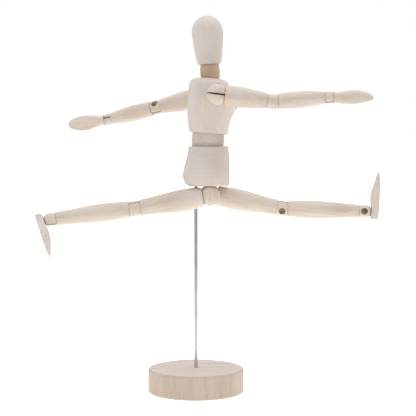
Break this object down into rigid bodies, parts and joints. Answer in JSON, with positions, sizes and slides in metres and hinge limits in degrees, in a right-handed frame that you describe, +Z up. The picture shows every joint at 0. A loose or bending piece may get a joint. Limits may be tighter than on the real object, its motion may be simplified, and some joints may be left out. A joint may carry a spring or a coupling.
{
  "type": "artist mannequin",
  "caption": "Jointed wooden figure in a leaping pose, held by a thin metal rod on a round wooden base.",
  "frame": {"origin": "centre of the base's underside, on the axis of the rod", "axes": "+Z up along the rod, +X the way the figure faces, +Y to the figure's left"},
  "size_m": [0.2866, 0.1015, 0.3123],
  "materials": {
    "pale_wood": "fine-sanded pale maple with a thin satin lacquer",
    "neck_wood": "sanded, slightly darker wood",
    "base_wood": "satin wood with fine grain streaks",
    "chrome_rod": "bright plated, mirror-like",
    "brass_screw": "dark antique brass, satin",
    "steel_plate": "plain stamped steel",
    "spring_steel": "drawn spring wire"
  },
  "bodies": {
    "base": {"base": "base_wood"},
    "rod": {"rod": "chrome_rod"},
    "pelvis": {"pelvis": "pale_wood", "right_hip_spring": "spring_steel", "left_hip_spring": "spring_steel"},
    "waist": {"waist": "pale_wood", "waist_spring": "spring_steel"},
    "chest": {"chest": "pale_wood", "shoulder_spring": "spring_steel"},
    "neck": {"neck": "neck_wood", "neck_spring": "spring_steel"},
    "head": {"head": "pale_wood"},
    "right_shoulder_ball": {"right_shoulder_ball": "pale_wood", "right_shoulder_screw": "brass_screw"},
    "right_upper_arm": {"right_upper_arm": "pale_wood", "right_shoulder_tongue": "steel_plate"},
    "right_elbow_ball": {"right_elbow_ball": "pale_wood", "right_elbow_screw": "brass_screw"},
    "right_forearm": {"right_forearm": "pale_wood", "right_elbow_tongue": "steel_plate"},
    "right_wrist_ball": {"right_wrist_ball": "pale_wood", "right_wrist_screw": "brass_screw"},
    "right_hand": {"right_hand": "pale_wood", "right_wrist_tongue": "steel_plate"},
    "right_hip_ball": {"right_hip_ball": "pale_wood", "right_hip_screw": "brass_screw"},
    "right_thigh": {"right_thigh": "pale_wood", "right_hip_tongue": "steel_plate"},
    "right_knee_ball": {"right_knee_ball": "pale_wood", "right_knee_screw": "brass_screw"},
    "right_shin": {"right_shin": "pale_wood", "right_knee_tongue": "steel_plate"},
    "right_ankle_ball": {"right_ankle_ball": "pale_wood", "right_ankle_screw": "brass_screw"},
    "right_foot": {"right_foot": "pale_wood", "right_ankle_tongue": "steel_plate"},
    "left_shoulder_ball": {"left_shoulder_ball": "pale_wood", "left_shoulder_screw": "brass_screw"},
    "left_upper_arm": {"left_upper_arm": "pale_wood", "left_shoulder_tongue": "steel_plate"},
    "left_elbow_ball": {"left_elbow_ball": "pale_wood", "left_elbow_screw": "brass_screw"},
    "left_forearm": {"left_forearm": "pale_wood", "left_elbow_tongue": "steel_plate"},
    "left_wrist_ball": {"left_wrist_ball": "pale_wood", "left_wrist_screw": "brass_screw"},
    "left_hand": {"left_hand": "pale_wood", "left_wrist_tongue": "steel_plate"},
    "left_hip_ball": {"left_hip_ball": "pale_wood", "left_hip_screw": "brass_screw"},
    "left_thigh": {"left_thigh": "pale_wood", "left_hip_tongue": "steel_plate"},
    "left_knee_ball": {"left_knee_ball": "pale_wood", "left_knee_screw": "brass_screw"},
    "left_shin": {"left_shin": "pale_wood", "left_knee_tongue": "steel_plate"},
    "left_ankle_ball": {"left_ankle_ball": "pale_wood", "left_ankle_screw": "brass_screw"},
    "left_foot": {"left_foot": "pale_wood", "left_ankle_tongue": "steel_plate"}
  },
  "joints": [
    {"name": "rod_turn", "type": "hinge", "parent": "base", "child": "rod", "pos_m": [0, 0, 0.02], "axis": [0, 0, 1], "continuous": true},
    {"name": "waist_bend", "type": "hinge", "parent": "pelvis", "child": "waist", "pos_m": [0.01, 0, 0.2102], "axis": [0, 1, 0], "range_deg": [-22, 15]},
    {"name": "chest_turn", "type": "hinge", "parent": "waist", "child": "chest", "pos_m": [0.01, 0, 0.2102], "axis": [0.0732, 0, 0.9973], "range_deg": [-55, 35]},
    {"name": "neck_nod", "type": "hinge", "parent": "chest", "child": "neck", "pos_m": [0.01166, -0.00043, 0.26643], "axis": [-0.1732, 0.9848, 0.0127], "range_deg": [-16, 32]},
    {"name": "head_turn", "type": "hinge", "parent": "neck", "child": "head", "pos_m": [0.01166, -0.00043, 0.26643], "axis": [-0.0676, -0.0248, 0.9974], "range_deg": [-70, 90]},
    {"name": "right_shoulder_swivel", "type": "hinge", "parent": "chest", "child": "right_shoulder_ball", "pos_m": [0.01784, -0.02915, 0.24672], "axis": [0.1732, -0.9848, -0.0127], "range_deg": [-150, 90]},
    {"name": "right_shoulder_bend", "type": "hinge", "parent": "right_shoulder_ball", "child": "right_upper_arm", "pos_m": [0.01784, -0.02915, 0.24672], "axis": [0.1331, 0.0106, 0.9911], "range_deg": [-160, 1.5]},
    {"name": "right_elbow_swivel", "type": "hinge", "parent": "right_upper_arm", "child": "right_elbow_ball", "pos_m": [0.06194, -0.02916, 0.2408], "axis": [0.9911, -0.0003, -0.1331], "range_deg": [-90, 90]},
    {"name": "right_elbow_bend", "type": "hinge", "parent": "right_elbow_ball", "child": "right_forearm", "pos_m": [0.06194, -0.02916, 0.2408], "axis": [0.0011, -0.9999, 0.0105], "range_deg": [-81, 57]},
    {"name": "right_wrist_swivel", "type": "hinge", "parent": "right_forearm", "child": "right_wrist_ball", "pos_m": [0.10722, -0.02908, 0.24417], "axis": [0.9972, 0.0019, 0.0742], "range_deg": [-90, 90]},
    {"name": "right_wrist_bend", "type": "hinge", "parent": "right_wrist_ball", "child": "right_hand", "pos_m": [0.10722, -0.02908, 0.24417], "axis": [-0.0395, -0.8329, 0.552], "range_deg": [-62, 76]},
    {"name": "right_hip_swivel", "type": "hinge", "parent": "pelvis", "child": "right_hip_ball", "pos_m": [0.0115, -0.014, 0.1645], "axis": [0, 0, 1], "range_deg": [-4, 90]},
    {"name": "right_hip_bend", "type": "hinge", "parent": "right_hip_ball", "child": "right_thigh", "pos_m": [0.0115, -0.014, 0.1645], "axis": [0, 1, 0], "range_deg": [-162, 1.8]},
    {"name": "right_knee_swivel", "type": "hinge", "parent": "right_thigh", "child": "right_knee_ball", "pos_m": [-0.04979, -0.014, 0.15391], "axis": [-0.9854, 0, -0.1702], "range_deg": [-90, 90]},
    {"name": "right_knee_bend", "type": "hinge", "parent": "right_knee_ball", "child": "right_shin", "pos_m": [-0.04979, -0.014, 0.15391], "axis": [-0.1024, 0.7986, 0.593], "range_deg": [-72, 68]},
    {"name": "right_ankle_swivel", "type": "hinge", "parent": "right_shin", "child": "right_ankle_ball", "pos_m": [-0.11821, -0.01639, 0.14531], "axis": [-0.9916, -0.0346, -0.1246], "range_deg": [-60, 60]},
    {"name": "right_ankle_bend", "type": "hinge", "parent": "right_ankle_ball", "child": "right_foot", "pos_m": [-0.11821, -0.01639, 0.14531], "axis": [0.0435, 0.8182, -0.5733], "range_deg": [-24, 50]},
    {"name": "left_shoulder_swivel", "type": "hinge", "parent": "chest", "child": "left_shoulder_ball", "pos_m": [0.00758, 0.02915, 0.24748], "axis": [-0.1732, 0.9848, 0.0127], "range_deg": [-150, 90]},
    {"name": "left_shoulder_bend", "type": "hinge", "parent": "left_shoulder_ball", "child": "left_upper_arm", "pos_m": [0.00758, 0.02915, 0.24748], "axis": [-0.2339, -0.0537, 0.9708], "range_deg": [-143, 15]},
    {"name": "left_elbow_swivel", "type": "hinge", "parent": "left_upper_arm", "child": "left_elbow_ball", "pos_m": [-0.0341, 0.04161, 0.23812], "axis": [-0.9367, 0.2799, -0.2102], "range_deg": [-90, 90]},
    {"name": "left_elbow_bend", "type": "hinge", "parent": "left_elbow_ball", "child": "left_forearm", "pos_m": [-0.0341, 0.04161, 0.23812], "axis": [-0.3497, -0.7213, 0.5979], "range_deg": [-69, 67]},
    {"name": "left_wrist_swivel", "type": "hinge", "parent": "left_forearm", "child": "left_wrist_ball", "pos_m": [-0.07663, 0.05376, 0.22791], "axis": [-0.9369, 0.2677, -0.225], "range_deg": [-90, 90]},
    {"name": "left_wrist_bend", "type": "hinge", "parent": "left_wrist_ball", "child": "left_hand", "pos_m": [-0.07663, 0.05376, 0.22791], "axis": [-0.0985, 0.4153, 0.9044], "range_deg": [-82, 57]},
    {"name": "left_hip_swivel", "type": "hinge", "parent": "pelvis", "child": "left_hip_ball", "pos_m": [0.0115, 0.014, 0.1645], "axis": [0, 0, -1], "range_deg": [-90, 30]},
    {"name": "left_hip_bend", "type": "hinge", "parent": "left_hip_ball", "child": "left_thigh", "pos_m": [0.0115, 0.014, 0.1645], "axis": [-0.0349, 0.9994, 0], "range_deg": [-2, 160]},
    {"name": "left_knee_swivel", "type": "hinge", "parent": "left_thigh", "child": "left_knee_ball", "pos_m": [0.07248, 0.01613, 0.15242], "axis": [0.9804, 0.0342, -0.1942], "range_deg": [-90, 90]},
    {"name": "left_knee_bend", "type": "hinge", "parent": "left_knee_ball", "child": "left_shin", "pos_m": [0.07248, 0.01613, 0.15242], "axis": [0.0404, 0.9292, 0.3675], "range_deg": [-56, 81]},
    {"name": "left_ankle_swivel", "type": "hinge", "parent": "left_shin", "child": "left_ankle_ball", "pos_m": [0.14141, 0.01405, 0.15012], "axis": [0.999, -0.0302, -0.0333], "range_deg": [-60, 60]},
    {"name": "left_ankle_bend", "type": "hinge", "parent": "left_ankle_ball", "child": "left_foot", "pos_m": [0.14141, 0.01405, 0.15012], "axis": [0.0288, 0.9987, -0.0423], "range_deg": [-34, 37]},
    {"name": "figure_height", "type": "slide", "parent": "rod", "child": "pelvis", "axis": [0, 0, 1], "range_m": [0, 0.012]}
  ]
}
